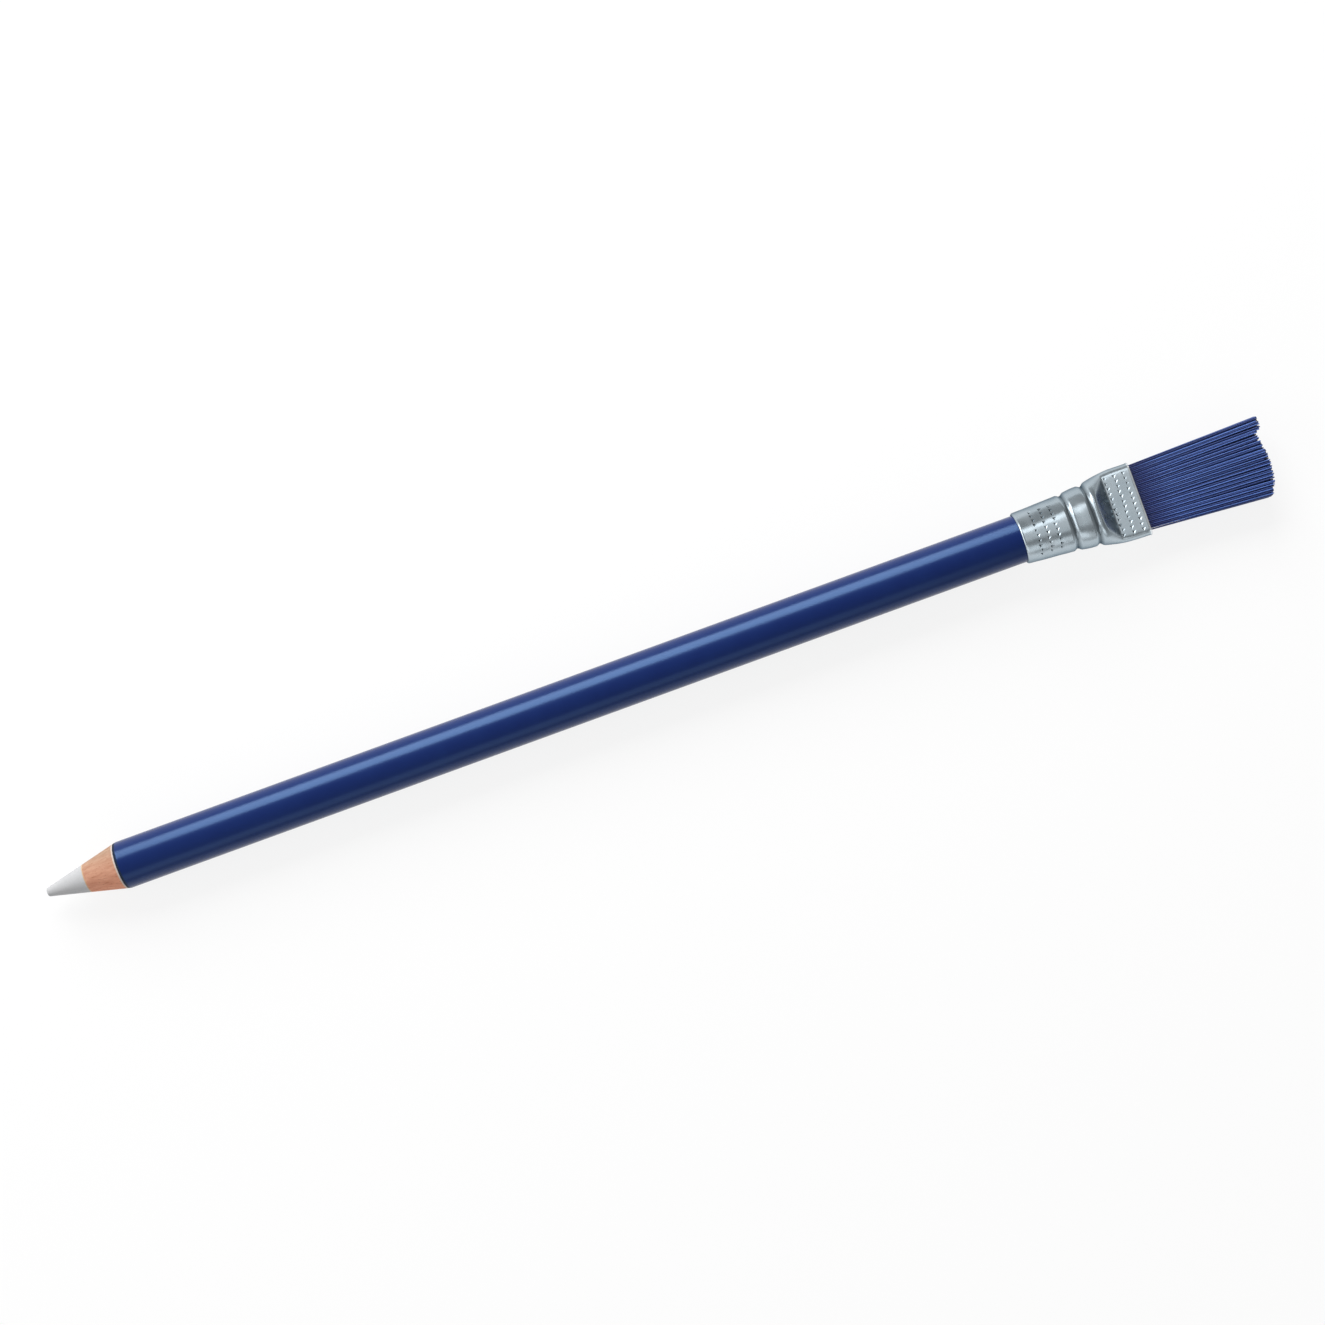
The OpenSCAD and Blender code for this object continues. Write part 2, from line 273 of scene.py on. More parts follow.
# %% Starting a material
def start_material(name, **finish):
    """New material with one Principled shader. Finish holds values for the shader's own sockets."""
    material = bpy.data.materials.new(name)
    material.use_nodes = True
    tree = material.node_tree
    tree.nodes.clear()
    shader = add_node(tree, "ShaderNodeBsdfPrincipled",
                      {key.replace("_", " "): value for key, value in finish.items()})
    add_node(tree, "ShaderNodeOutputMaterial", {"Surface": shader})
    place = add_node(tree, "ShaderNodeTexCoord").outputs["Object"]
    return material, tree, shader, place


def connect(tree, shader, **sources):
    """Links sockets to the shader's own inputs."""
    for name, source in sources.items():
        tree.links.new(source, shader.inputs[name.replace("_", " ")])


def finish_node(node_name, material):
    """Gives a CAD node's object a material in place of the plain one."""
    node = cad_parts[node_name]
    node.data.materials.clear()
    node.data.materials.append(material)


print("materials start from the Principled shader")

# %% Patterns sized in millimetres
def per(size):
    """How many features of this size in millimetres fit in a metre, which is a texture's scale."""
    return 1 / (size * mm)


def speckle(tree, place, size, detail):
    """Noise with features of this size in every direction."""
    return add_node(tree, "ShaderNodeTexNoise", {
        "Vector": place, "Scale": per(size), "Detail": detail}).outputs["Fac"]


def streaks(tree, place, sizes, detail, offset=0.0, roughness=0.5):
    """Noise with features of its own size along each axis."""
    stretched = add_node(tree, "ShaderNodeMapping", {
        "Vector": place, "Location": (offset, 0, 0), "Scale": [per(size) for size in sizes]})
    return add_node(tree, "ShaderNodeTexNoise", {
        "Vector": stretched, "Scale": 1.0, "Detail": detail, "Roughness": roughness}).outputs["Fac"]


def bump(tree, height, distance, strength=1.0, **under):
    """Normal of a relief this many millimetres high, over another normal where one is named."""
    return add_node(tree, "ShaderNodeBump", {
        "Height": height, "Distance": distance * mm, "Strength": strength, **under}).outputs[0]


print("patterns ready")

# %% [markdown]
# The core is a vulcanised rubber with fine grit in it, pale grey and quite matt. A factory grinder
# pointed it, which leaves very fine rings around the cone. A speckle of 0.3 mm stands for the grit.

# %% Gritty grey rubber
def gritty_rubber():
    """Grey eraser rubber: matt, lightly speckled, ground to a cone."""
    material, tree, shader, place = start_material(
        "gritty grey eraser rubber", Roughness=0.88, IOR=1.5, Specular_IOR_Level=0.35)
    grit = speckle(tree, place, 0.3, 4.0)
    cloud = speckle(tree, place, 2.5, 2.0)
    tone = blend(tree, grit, "#9E9FA1", "#B3B4B6")
    tone = blend(tree, cloud, tone, "#ABABAC")
    rings = streaks(tree, place, (0.12, 2.5, 2.5), 3.0)
    relief = number(tree, "ADD", rings, grit)
    connect(tree, shader, Base_Color=tone, Normal=bump(tree, relief, 0.02, 0.8))
    return material


finish_node("eraser_core", gritty_rubber())

# %% [markdown]
# The casing is two slats of bare, straight-grained cedar. Sharpening cuts across the growth rings at a
# shallow angle, so the cone shows short lengthwise streaks, with fine dark pores and faint rings of
# the cutter. The two slats come from different boards, so each gets its own tone and its own grain.
# Painted shade: both boards are duller on the lit +y side and redder on the shaded -y side.

# %% Sharpened cedar
def sharpened_cedar(name, pale, deep, offset):
    """Bare cedar: satin-matt, streaked along the grain, with cutter rings on the cone."""
    # Tints of painted shade for the lit +y side and the shaded -y side.
    lit_side_tint, shaded_side_tint = (0.82, 0.84, 0.81, 1), (1.5, 1.07, 0.95, 1)
    lit_side_y, shaded_side_y = 2.8 * mm, -2.2 * mm
    material, tree, shader, place = start_material(name, Roughness=0.72, Specular_IOR_Level=0.3)
    grain = streaks(tree, place, (6.0, 0.45, 0.45), 5.0, offset, 0.62)
    tone = blend(tree, grain, deep, pale)
    # Painted shade: the tint runs from duller on the lit +y side to redder on the shaded -y side.
    towards_shaded_side = remap(tree, split(tree, place)["Y"], lit_side_y, shaded_side_y)
    tint = blend(tree, towards_shaded_side, lit_side_tint, shaded_side_tint)
    tone = blend(tree, 1.0, tone, tint, blend_type="MULTIPLY")
    pores = streaks(tree, place, (1.6, 0.14, 0.14), 2.0, offset)
    tone = blend(tree, remap(tree, pores, 0.62, 0.72, 0.0, 0.7), tone, "#8A573B")
    rings = streaks(tree, place, (0.22, 4.0, 4.0), 2.0)
    relief = number(tree, "ADD", rings, grain)
    connect(tree, shader, Base_Color=tone, Normal=bump(tree, relief, 0.03, 0.7))
    return material


finish_node("upper_slat", sharpened_cedar("sharpened cedar, upper", "#BCA08B", "#8E6049", 0.0))
finish_node("lower_slat", sharpened_cedar("sharpened cedar, lower", "#B79881", "#895C45", 3.0))
print("slats of bare cedar: 2")

# %% [markdown]
# Glue and primer show only as hairlines. The glue is a set film of wood adhesive, pale amber. The
# primer is a chalky off-white ground, worn a little uneven where the cutter passed.

# %% Glue and primer
def set_glue():
    """Dried wood adhesive: pale amber, half-gloss."""
    material, tree, shader, place = start_material("dried wood adhesive", Roughness=0.45)
    cloud = speckle(tree, place, 0.8, 3.0)
    connect(tree, shader, Base_Color=blend(tree, cloud, "#A98764", "#BFA27E"))
    return material


def chalky_primer():
    """Chalk-filled ground coat: off-white and matt."""
    material, tree, shader, place = start_material("chalky primer", Roughness=0.9)
    cloud = speckle(tree, place, 0.35, 4.0)
    tone = blend(tree, cloud, "#A3968D", "#C4B8AE")
    connect(tree, shader, Base_Color=tone, Normal=bump(tree, cloud, 0.02))
    return material


finish_node("glue_film", set_glue())
finish_node("primer_coat", chalky_primer())
print("glue and primer finished")

# %% [markdown]
# The lacquer is a dark navy nitrocellulose paint, drawn on in thin layers and dried to a gloss. It
# mirrors the softbox as one long soft band. The band is bluish, because the pigment lies close under
# the surface, so the reflection is tinted. Only at grazing angles does it turn white. The wood under
# it is never quite straight, which a slow and very shallow wave stands for. Where the cutter went
# through the paint its edge is matt and darker. The barrel stays bare of lettering.

# %% Navy lacquer
def navy_lacquer(gloss=0.25, cut_roughness=0.6):
    """Glossy navy paint, with a matt cut face at the paint edge."""
    material, tree, shader, place = start_material(
        "glossy navy lacquer", IOR=1.46, Specular_Tint=(0.34, 0.6, 1.0, 1.0))
    cloud = speckle(tree, place, 3.0, 3.0)
    tone = blend(tree, cloud, "#111F53", "#15265A")
    cut = number(tree, "LESS_THAN", split(tree, place)["X"], paint_edge - 0.01 * mm)
    tone = blend(tree, cut, tone, "#0C1024")
    roughness = remap(tree, cut, 0.0, 1.0, gloss, cut_roughness)
    wave = streaks(tree, place, (30.0, 3.0, 3.0), 2.0)
    connect(tree, shader, Base_Color=tone, Roughness=roughness, Normal=bump(tree, wave, 0.06, 0.6))
    return material


finish_node("lacquer_coat", navy_lacquer())

# %% [markdown]
# The plug that holds the bristle roots is a cast epoxy, a clear amber that looks dark between the
# roots. Only glimpses of it show through the mouth.

# %% Cast amber resin
def cast_resin():
    """Cast epoxy: amber, glossy, slightly cloudy."""
    material, tree, shader, place = start_material("cast amber epoxy", Roughness=0.18, IOR=1.55)
    cloud = speckle(tree, place, 1.2, 2.0)
    connect(tree, shader, Base_Color=blend(tree, cloud, "#4A2F14", "#6E4A22"))
    return material


finish_node("root_resin", cast_resin())
print("resin plug finished")

# %% [markdown]
# ## The ferrule
#
# The real ferrule starts as a drawn aluminium tube. Its rear end grips the barrel, two grooves are
# rolled in, and the front is pressed flat between two jaws, which leaves a scooped slope on each face.
# The shape follows a rule: at each place along it, a half width and a half height say how round or
# flat the section is, so it is made as a loft of sections in code. The wall is a real 0.3 mm thick,
# with a rounded rim at both ends.

# %% Rules of the ferrule's sections, in millimetres
ferrule_len = 19.5
wall = 0.3
crease = 0.4
crisp = 0.12
shoulder = 0.15
rim_r = 4.09
neck_half_w = 4.59
bead_half_w = 4.94
bead_half_h = 4.19
bead_crown = 0.08
groove_at = (8.0, 11.5)
groove_w = 1.4
groove_depth = 0.3
mouth_half_w = 5.85
mouth_half_h = 1.4
slope_start = 12.4
slope_end = 14.8
side_end = 17.2
nose_lean = math.radians(1.5)
crowding = 3


def share(x, start, end):
    """How far x is from start to end, from 0 to 1."""
    return min(max((x - start) / (end - start), 0), 1)


def mix(a, b, t):
    """Value between a and b."""
    return a + (b - a) * t


def soft_min(a, b, radius=crease):
    """The smaller of two sizes, with the crease between them rounded off."""
    return min(a, b) - max(radius - abs(a - b), 0) ** 2 / (4 * radius)


def soft_max(a, b, radius=crease):
    """The larger of two sizes, with the crease between them filled out."""
    return max(a, b) + max(radius - abs(a - b), 0) ** 2 / (4 * radius)


def relief(x):
    """Height of the bead's crown and depth of the grooves at x."""
    crown = bead_crown * math.sin(math.pi * share(x, *groove_at)) ** 2
    cuts = [groove_depth * math.cos(math.pi * (x - at) / groove_w) ** 2
            for at in groove_at if abs(x - at) < groove_w / 2]
    return crown - sum(cuts)


def half_w(x):
    """Half the ferrule's width at x."""
    first, second = groove_at
    if x < first:
        return relief(x) + mix(rim_r, neck_half_w, share(x, 0, first))
    if x < second:
        return relief(x) + mix(neck_half_w, bead_half_w, share(x, first, second))
    return relief(x) + mix(mouth_half_w, bead_half_w, (1 - share(x, second, side_end)) ** 2)


def press_h(x):
    """Height at which the press stops: a slope, then the flat mouth, with a crisp edge between them."""
    slope = bead_half_h - (bead_half_h - mouth_half_h) * (x - slope_start) / (slope_end - slope_start)
    return soft_max(slope, mouth_half_h, crisp)


def half_h(x):
    """Half the height that the rounded sides of the tube would reach at x."""
    if x < groove_at[1]:
        return relief(x) + mix(rim_r, bead_half_h, share(x, 0, groove_at[1]))
    return relief(x) + soft_min(bead_half_h, press_h(x) + shoulder)


def lean_y(x):
    """The flattened end points slightly to one side."""
    return -math.tan(nose_lean) * x


def section_point(x, angle, inside):
    """Point of the section at x, at an angle round it, inside the outer skin by a distance."""
    b = half_h(x) - inside
    flat = half_w(x) - inside - b
    z = soft_min(b * abs(math.sin(angle)), press_h(x) - inside)
    pull = crowding * math.cos(angle)
    spread = pull / (1 + pull ** 4) ** 0.25
    return Vector((x, lean_y(x) + b * math.cos(angle) + flat * spread, math.copysign(z, math.sin(angle))))


print("half width and half height at the mouth:", round(half_w(19.5), 2), round(press_h(19.5), 2))

# %% [markdown]
# The loft goes once round the wall: forwards along the outside, round the lip of the mouth, back
# along the inside, and round the rolled rear rim. The first and the last ring are joined, so the shell
# is closed. Hand pressing leaves the skin a little uneven, so every point moves by a slow noise of a
# few hundredths of a millimetre, the same outside and inside, which keeps the wall's thickness.

# %% Loft of the wall
def wall_path(places_outside=240, places_inside=60, places_round=7):
    """Places (x, distance inside the skin) once round the wall, in millimetres."""
    rim_w, rim_h, lip, chamfer = 0.35, 0.25, 0.1, 0.05
    quarter = [math.pi / 2 * k / (places_round - 1) for k in range(places_round)]
    rear = [(rim_w * (1 - math.sin(a)), rim_h * (1 - math.cos(a))) for a in reversed(quarter)]
    outside = [(mix(rim_w, ferrule_len - lip, k / places_outside), 0) for k in range(1, places_outside)]
    mouth = [(ferrule_len - lip + lip * math.sin(a), lip - lip * math.cos(a)) for a in quarter]
    back = [(ferrule_len, wall - chamfer), (ferrule_len - chamfer, wall)]
    inside = [(mix(ferrule_len - lip, chamfer, k / places_inside), wall) for k in range(places_inside + 1)]
    return rear + outside + mouth + back + inside


def dent(point):
    """Slow unevenness of the pressed skin, in millimetres."""
    slow_size, quick_size = 2.6, 1.1
    slow_height, quick_height = 0.035, 0.012
    slow = noise.noise(point / slow_size)
    quick = noise.noise(point / quick_size + Vector((7, 3, 5)))
    return slow_height * slow + quick_height * quick


def lip_curl(x):
    """How far the edge of the mouth curls outwards at x, in millimetres."""
    return 0.07 * share(x, ferrule_len - 0.5, ferrule_len - 0.1) ** 2


def loft_ferrule(ring=144):
    """Closed mesh of the ferrule's wall, in metres."""
    path = wall_path()
    points = []
    for x, inside in path:
        for k in range(ring):
            angle = 2 * math.pi * (k + 0.5) / ring
            skin = section_point(x, angle, 0)
            outward = Vector((0, math.cos(angle), math.sin(angle)))
            points.append((section_point(x, angle, inside) + (dent(skin) + lip_curl(x)) * outward) * mm)
    faces = []
    for row in range(len(path)):
        for k in range(ring):
            here, there = row * ring, (row + 1) % len(path) * ring
            turn = (k + 1) % ring
            faces.append((here + k, here + turn, there + turn, there + k))
    mesh = bpy.data.meshes.new("ferrule_wall")
    mesh.from_pydata(points, [], faces)
    return mesh


ferrule_mesh = loft_ferrule()
print("ferrule wall:", len(ferrule_mesh.vertices), "points")

# %% [markdown]
# Drawn aluminium that has been pressed and handled: a cool silver with a satin skin. It isn't
# polished, so it mirrors its surroundings softly. Tooling leaves fine lines round it, and fingers and
# press oil leave a faint grey cloud. Painted shade darkens the grooves, the scoop of each slope and one
# side of every prick mark, and a painted highlight makes the lip of the mouth bright.

# %% Satin aluminium
def groove_painted_shade(tree, along):
    """Painted shade along the ferrule: dark in the two grooves, none between them."""
    painted_shade = add_node(tree, "ShaderNodeValToRGB", {0: remap(tree, along, 0.0, ferrule_len * mm)})
    ramp = painted_shade.color_ramp
    ramp.elements[0].position, ramp.elements[0].color = 0.0, (0, 0, 0, 1)
    ramp.elements[1].position, ramp.elements[1].color = 1.0, (0, 0, 0, 1)
    for middle, darkest_shade in zip(groove_at, (0.8, 0.85)):
        for at, level in ((middle - 0.55, 0), (middle, darkest_shade), (middle + 0.5, 0)):
            ramp.elements.new(at / ferrule_len).color = (level, level, level, 1)
    return painted_shade.outputs[0]


def scoop_painted_shade(tree, along):
    """Thin painted shade on the pressed slopes, the more the further they face towards the brush."""
    facing = split(tree, add_node(tree, "ShaderNodeTexCoord").outputs["Normal"])
    scoop = remap(tree, facing["X"], 0.3, 0.7, 0.0, 0.2)
    return number(tree, "MULTIPLY", scoop, number(tree, "GREATER_THAN", along, slope_start * mm))


def satin_aluminium():
    """Pressed aluminium: metal, cool silver, satin, with painted shade in grooves, slopes and marks."""
    material, tree, shader, place = start_material(
        "satin pressed aluminium", Metallic=1.0, Specular_Tint=(0.3, 0.34, 0.38, 1.0))
    cloud = speckle(tree, place, 2.2, 4.0)
    tone = blend(tree, cloud, "#9FAEB7", "#C8D3DA")
    along = split(tree, place)["X"]
    # Painted shade: the marked facet of each prick mark is painted near black, the shadow side of the
    # mark.
    facet = add_node(tree, "ShaderNodeAttribute", attribute_name="painted shade facet")
    tone = blend(tree, facet.outputs["Fac"], tone, "#20292F")
    # Painted highlight: the last quarter millimetre of the lip is painted near white.
    lip_highlight = number(tree, "GREATER_THAN", along, (ferrule_len - 0.25) * mm)
    tone = blend(tree, lip_highlight, tone, "#EEF3F6")
    # Painted shade: the grooves and the pressed slopes are painted dark grey, for the shade in these
    # hollows.
    painted_shade = number(tree, "MAXIMUM", groove_painted_shade(tree, along), scoop_painted_shade(tree, along))
    tone = blend(tree, painted_shade, tone, "#4A545B")
    gloss = remap(tree, cloud, 0.3, 0.7, 0.22, 0.32)
    lines = bump(tree, streaks(tree, place, (0.08, 5.0, 5.0), 2.0), 0.004)
    ripple = bump(tree, speckle(tree, place, 0.9, 2.0), 0.012, Normal=lines)
    connect(tree, shader, Base_Color=tone, Roughness=gloss, Normal=ripple)
    return material


aluminium = satin_aluminium()
print("ferrule finish:", aluminium.name)

# %% [markdown]
# Rows of small three-cornered prick marks hold the tube to the barrel, and more of them hold the
# bristle root behind the mouth. They repeat and follow the skin, which is Geometry Nodes' work: grids
# of points hang over and under the ferrule, a ray from each point finds the skin, and a little pyramid
# is set there, point inwards. One Boolean then cuts all the pyramids out of the wall. Cutting real
# pits costs more faces than a bump would, but they catch the light from every side.

# %% Growing with a node tree
def new_tree(name, inputs):
    """Geometry node tree with named inputs, given as (name, socket type), after its geometry input."""
    tree = bpy.data.node_groups.new(name, "GeometryNodeTree")
    tree.interface.new_socket("Geometry", in_out="INPUT", socket_type="NodeSocketGeometry")
    for label, kind in inputs:
        tree.interface.new_socket(label, in_out="INPUT", socket_type="NodeSocket" + kind)
    tree.interface.new_socket("Geometry", in_out="OUTPUT", socket_type="NodeSocketGeometry")
    return tree, add_node(tree, "NodeGroupInput").outputs


def end_tree(tree, geometry, material):
    """Makes what has grown real, gives it its material, and hands it out."""
    real = add_node(tree, "GeometryNodeRealizeInstances", {"Geometry": geometry})
    dressed = add_node(tree, "GeometryNodeSetMaterial", {"Geometry": real, "Material": material})
    add_node(tree, "NodeGroupOutput", {"Geometry": dressed})


def store(tree, geometry, name, value, kind, domain="POINT"):
    """Keeps a value on the geometry under a name."""
    return add_node(tree, "GeometryNodeStoreNamedAttribute", {
        "Geometry": geometry, "Name": name, "Value": value}, data_type=kind, domain=domain)


def stored(tree, name):
    """Vector that was kept on the geometry under this name."""
    return add_node(tree, "GeometryNodeInputNamedAttribute", {"Name": name},
                    data_type="FLOAT_VECTOR").outputs[0]


def grow(name, mesh, tree, values):
    """Runs a tree on a mesh with the given named values, and returns the result as a plain mesh."""
    piece = bpy.data.objects.new(name, mesh)
    bpy.context.scene.collection.objects.link(piece)
    modifier = piece.modifiers.new("grow", "NODES")
    modifier.node_group = tree
    for item in tree.interface.items_tree:
        if item.name in values:
            modifier[item.identifier] = values[item.name]
    graph = bpy.context.evaluated_depsgraph_get()
    grown = bpy.data.meshes.new_from_object(piece.evaluated_get(graph), depsgraph=graph)
    piece.modifiers.remove(modifier)
    piece.data = grown
    grown.name = name
    return piece


print("trees grow into plain meshes")

# %% Parts of the prick marks' tree
def prick_pyramid(tree, given):
    """Three-cornered pyramid, point down, that starts a little above the skin. One side is marked for
    painted shade.
    """
    depth = number(tree, "ADD", given["Mark depth"], given["Mark rise"])
    widening = number(tree, "DIVIDE", depth, given["Mark depth"])
    radius = number(tree, "MULTIPLY", widening, given["Mark size"])
    pyramid = add_node(tree, "GeometryNodeMeshCone", {
        "Vertices": 3, "Radius Top": 0.0, "Radius Bottom": radius, "Depth": depth})
    pyramid = add_node(tree, "GeometryNodeTransform", {
        "Geometry": pyramid.outputs["Mesh"], "Translation": join(tree, Z=given["Mark rise"]),
        "Rotation": (math.pi, 0, 0)})
    # Facets that face towards +y and away from +x are marked for painted shade, the shadow side of each
    # mark.
    facet = split(tree, add_node(tree, "GeometryNodeInputNormal"))
    facet_shade = number(tree, "MULTIPLY", number(tree, "SUBTRACT", facet["Y"], facet["X"]), 2.0)
    return store(tree, pyramid, "painted shade facet", facet_shade, "FLOAT", "FACE")


def hung_points(tree, given, start, count, on_round, side):
    """Three rows of points over one face of the ferrule, or under it, none quite in line."""
    hang = 10 * mm
    wander_x, wander_y = 0.1 * mm, 0.02 * mm
    grid = add_node(tree, "GeometryNodeMeshGrid", {
        "Size X": number(tree, "MULTIPLY", given["Row pitch"], 2.0),
        "Size Y": number(tree, "MULTIPLY", given[count], given["Mark pitch"]),
        "Vertices X": 3, "Vertices Y": given[count]})
    here = split(tree, add_node(tree, "GeometryNodeInputPosition"))
    x = number(tree, "ADD", here["X"], given["Row pitch"])
    x = number(tree, "ADD", x, given[start])
    y = here["Y"]
    if on_round:
        turn = number(tree, "DIVIDE", y, given["Round radius"])
        y = number(tree, "MULTIPLY", number(tree, "SINE", turn), given["Round radius"])
    y = number(tree, "ADD", y, number(tree, "MULTIPLY", x, -math.tan(nose_lean)))
    wander = add_node(tree, "FunctionNodeRandomValue", {
        0: (-wander_x, -wander_y, 0), 1: (wander_x, wander_y, 0), "Seed": given["Seed"]},
        data_type="FLOAT_VECTOR")
    return add_node(tree, "GeometryNodeSetPosition", {
        "Geometry": grid.outputs["Mesh"], "Position": join(tree, X=x, Y=y, Z=side * hang),
        "Offset": wander})


def marks_on_skin(tree, given, points, pyramid, side, group):
    """Moves each point to where its ray meets the skin, and sets a pyramid there, square to it."""
    turn_seed, size_seed = 40 + group, 60 + group
    ray = add_node(tree, "GeometryNodeRaycast", {
        "Target Geometry": given["Geometry"], "Ray Direction": (0, 0, -side), "Ray Length": 20 * mm})
    points = store(tree, points, "skin normal", ray.outputs["Hit Normal"], "FLOAT_VECTOR")
    placed = add_node(tree, "GeometryNodeSetPosition", {
        "Geometry": points, "Position": ray.outputs["Hit Position"]})
    upright = add_node(tree, "FunctionNodeAlignRotationToVector",
                       {"Vector": stored(tree, "skin normal")}, axis="Z")
    slant = add_node(tree, "FunctionNodeRandomValue", {
        2: 0.0, 3: math.radians(30), "Seed": turn_seed}, data_type="FLOAT")
    turned = add_node(tree, "FunctionNodeRotateRotation", {
        "Rotation": upright, "Rotate By": join(tree, Z=slant.outputs[1])}, rotation_space="LOCAL")
    size = add_node(tree, "FunctionNodeRandomValue", {2: 0.88, 3: 1.0, "Seed": size_seed},
                    data_type="FLOAT")
    return add_node(tree, "GeometryNodeInstanceOnPoints", {
        "Points": placed, "Instance": pyramid, "Rotation": turned, "Scale": size.outputs[1]})


print("prick marks: a pyramid, hung points, and marks on the skin")

# %% Prick marks cut out of the wall
def prick_tree(material):
    """Tree that cuts rows of three-cornered pits into the mesh it is given."""
    tree, given = new_tree("prick marks", [
        ("Rows start", "Float"), ("Row pitch", "Float"), ("Mark pitch", "Float"),
        ("Round radius", "Float"), ("Mark size", "Float"), ("Mark depth", "Float"),
        ("Mark rise", "Float"), ("Marks round", "Int"), ("Marks flat", "Int"),
        ("Flat start", "Float"), ("Seed", "Int")])
    pyramid = prick_pyramid(tree, given)
    pits = add_node(tree, "GeometryNodeJoinGeometry")
    groups = [("Rows start", "Marks round", True), ("Flat start", "Marks flat", False)]
    for group, (start, count, on_round) in enumerate(groups):
        for side in (1, -1):
            points = hung_points(tree, given, start, count, on_round, side)
            marks = marks_on_skin(tree, given, points, pyramid, side, group)
            tree.links.new(marks.outputs[0], pits.inputs[0])
    solid = add_node(tree, "GeometryNodeRealizeInstances", {"Geometry": pits})
    cut = add_node(tree, "GeometryNodeMeshBoolean", {"Mesh 1": given["Geometry"], "Mesh 2": solid},
                   operation="DIFFERENCE", solver="MANIFOLD")
    end_tree(tree, cut, material)
    return tree


ferrule = grow("pressed_ferrule", ferrule_mesh, prick_tree(aluminium), {
    "Rows start": 2.36 * mm, "Row pitch": 1.55 * mm, "Mark pitch": 0.76 * mm,
    "Round radius": 4.2 * mm, "Mark size": 0.4 * mm, "Mark depth": 0.14 * mm,
    "Mark rise": 0.025 * mm, "Marks round": 10, "Marks flat": 12, "Flat start": 15.26 * mm, "Seed": 5})
ferrule.data.shade_smooth()
ferrule.data.set_sharp_from_angle(angle=math.radians(22))
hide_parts("ferrule")
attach(ferrule, "handle")

link_light(softboxes[0], ferrule, "EXCLUDE")
for softbox in softboxes[2:5]:
    link_light(softbox, ferrule, "INCLUDE")

print("ferrule with marks:", len(ferrule.data.polygons), "faces")

# %% [markdown]
# ## The brush
#
# The brush is a flat tuft of stiff nylon filaments, about a fifth of a millimetre thick. They stand in
# the resin, fan out a little, and gather in small locks with dark gaps between them. Lighter and darker
# columns take turns across the brush: painted light and shade for lit filaments and shaded gaps, with
# some random tone of each column and filament. Geometry Nodes plant one filament on each point of a
# grid, with its root, its tip and its bow worked out from a few rules: the tips follow the slanted,
# ragged line that the photograph shows, and each tip is pulled a little towards the middle of its lock.

# %% Blue nylon
def blue_nylon():
    """Dyed nylon filament: semi-gloss, no two quite alike, with painted shade at the root and inside."""
    material, tree, shader, place = start_material(
        "dyed blue nylon filament", IOR=1.53, Roughness=0.42, Specular_Tint=(0.75, 0.88, 1.0, 1.0))
    along = split(tree, place)["X"]
    tone = blend(tree, remap(tree, along, ferrule_len * mm, 30 * mm), "#151959", "#121C55")
    # The stored shade makes alternate columns lighter: painted light and shade, with random tone per
    # column and bristle.
    shade = add_node(tree, "ShaderNodeAttribute", attribute_name="shade").outputs["Fac"]
    tone = blend(tree, shade, tone, "#5271BC")
    # Painted shade: the inner bristles are painted darker, for the shade inside the tuft.
    inner = add_node(tree, "ShaderNodeAttribute", attribute_name="inner").outputs["Fac"]
    tone = blend(tree, number(tree, "MULTIPLY", inner, 0.75), tone, "#0E1236")
    # Painted shade: near the mouth the bristles are painted dark violet, where the ferrule's lip shades
    # them.
    root = remap(tree, along, (ferrule_len + 5) * mm, (ferrule_len + 0.5) * mm, 0.0, 0.85)
    tone = blend(tree, root, tone, "#141556")
    haze = speckle(tree, place, 0.5, 2.0)
    connect(tree, shader, Base_Color=tone, Normal=bump(tree, haze, 0.01))
    return material


nylon = blue_nylon()
print("brush finish:", nylon.name)

# %% [markdown]
# The grid lies across the mouth: 40 columns wide and 9 rows deep. Its two sides are squeezed, because
# the mouth is rounded there, and the inner rows stand half a pitch aside, so that they fill the gaps
# between the outer ones.

# %% Rules of the bristles
def chance(tree, given, kind, low, high, extra, number_of=None):
    """Random value for each bristle, or for each number_of. Extra keeps the draws apart."""
    seed = add_node(tree, "FunctionNodeIntegerMath", {0: given["Seed"], 1: extra}, operation="ADD")
    first, second, result = (0, 1, 0) if kind == "FLOAT_VECTOR" else (2, 3, 1)
    inputs = {first: low, second: high, "Seed": seed}
    if number_of is not None:
        inputs["ID"] = number_of
    return add_node(tree, "FunctionNodeRandomValue", inputs, data_type=kind).outputs[result]


def rule(tree, value, points):
    """Curve through the given points, read at a value from 0 to 1."""
    curve = add_node(tree, "ShaderNodeFloatCurve", {"Value": value})
    line = curve.mapping.curves[0]
    line.points[0].location, line.points[-1].location = points[0], points[-1]
    for point in points[1:-1]:
        line.points.new(*point)
    curve.mapping.update()
    return curve.outputs[0]


